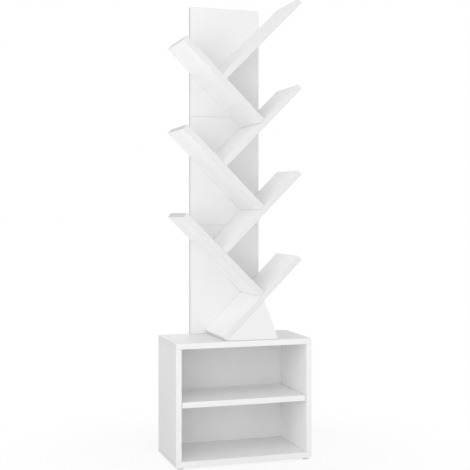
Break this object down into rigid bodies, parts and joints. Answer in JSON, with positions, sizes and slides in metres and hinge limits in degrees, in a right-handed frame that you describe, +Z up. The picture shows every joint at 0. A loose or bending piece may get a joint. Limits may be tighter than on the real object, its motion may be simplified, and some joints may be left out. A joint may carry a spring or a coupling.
{
  "type": "bookcase",
  "caption": "White bookcase: a zigzag tree of slanted shelves on a narrow upright back panel, standing on a low open case with a middle shelf.",
  "frame": {"origin": "on the floor, under the middle of the low case", "axes": "+Z up; +X to the viewer's right, seen from the front; the open front faces -Y, and the back panel's rear lies in the plane of the case's back"},
  "size_m": [0.4, 0.21, 1.3185],
  "materials": {
    "white_melamine": "white melamine-faced chipboard, fine matt texture, edge-banded in white",
    "white_hardboard": "hardboard, painted white on the face seen from the front, raw brown behind",
    "beech": "bare beech dowel, hidden in the joints",
    "zinc_plated_steel": "bright zinc plating",
    "grey_plastic": "moulded light grey plastic, satin"
  },
  "bodies": {
    "root": {"top_panel": "white_melamine", "bottom_panel": "white_melamine", "left_side": "white_melamine", "right_side": "white_melamine", "middle_shelf": "white_melamine", "case_back": "white_hardboard", "foot_front_left": "grey_plastic", "foot_front_right": "grey_plastic", "foot_rear_left": "grey_plastic", "foot_rear_right": "grey_plastic", "shelf_pin_front_left": "zinc_plated_steel", "shelf_pin_front_right": "zinc_plated_steel", "shelf_pin_rear_left": "zinc_plated_steel", "shelf_pin_rear_right": "zinc_plated_steel", "case_dowel_front_left": "beech", "case_dowel_front_right": "beech", "case_dowel_rear_left": "beech", "case_dowel_rear_right": "beech", "case_screw_front_left": "zinc_plated_steel", "case_screw_front_right": "zinc_plated_steel", "case_screw_rear_left": "zinc_plated_steel", "case_screw_rear_right": "zinc_plated_steel", "back_panel_1": "white_melamine", "back_panel_2": "white_melamine", "back_panel_3": "white_melamine", "right_shelf_1": "white_melamine", "right_shelf_2": "white_melamine", "right_shelf_3": "white_melamine", "right_shelf_4": "white_melamine", "left_shelf_1": "white_melamine", "left_shelf_2": "white_melamine", "left_shelf_3": "white_melamine", "tree_brace": "white_melamine", "brace_dowel": "beech", "corner_dowel_1": "beech", "corner_dowel_2": "beech", "corner_dowel_3": "beech", "corner_dowel_4": "beech", "corner_dowel_5": "beech", "corner_dowel_6": "beech", "seam_dowel_1_left": "beech", "seam_dowel_1_right": "beech", "seam_dowel_2_left": "beech", "seam_dowel_2_right": "beech", "base_screw_left": "zinc_plated_steel", "base_screw_right": "zinc_plated_steel", "right_shelf_1_screw_low": "zinc_plated_steel", "right_shelf_1_screw_high": "zinc_plated_steel", "right_shelf_2_screw_low": "zinc_plated_steel", "right_shelf_2_screw_high": "zinc_plated_steel", "right_shelf_3_screw_low": "zinc_plated_steel", "right_shelf_3_screw_high": "zinc_plated_steel", "right_shelf_4_screw_low": "zinc_plated_steel", "right_shelf_4_screw_high": "zinc_plated_steel", "left_shelf_1_screw_low": "zinc_plated_steel", "left_shelf_1_screw_high": "zinc_plated_steel", "left_shelf_2_screw_low": "zinc_plated_steel", "left_shelf_2_screw_high": "zinc_plated_steel", "left_shelf_3_screw_low": "zinc_plated_steel", "left_shelf_3_screw_high": "zinc_plated_steel"}
  },
  "joints": []
}
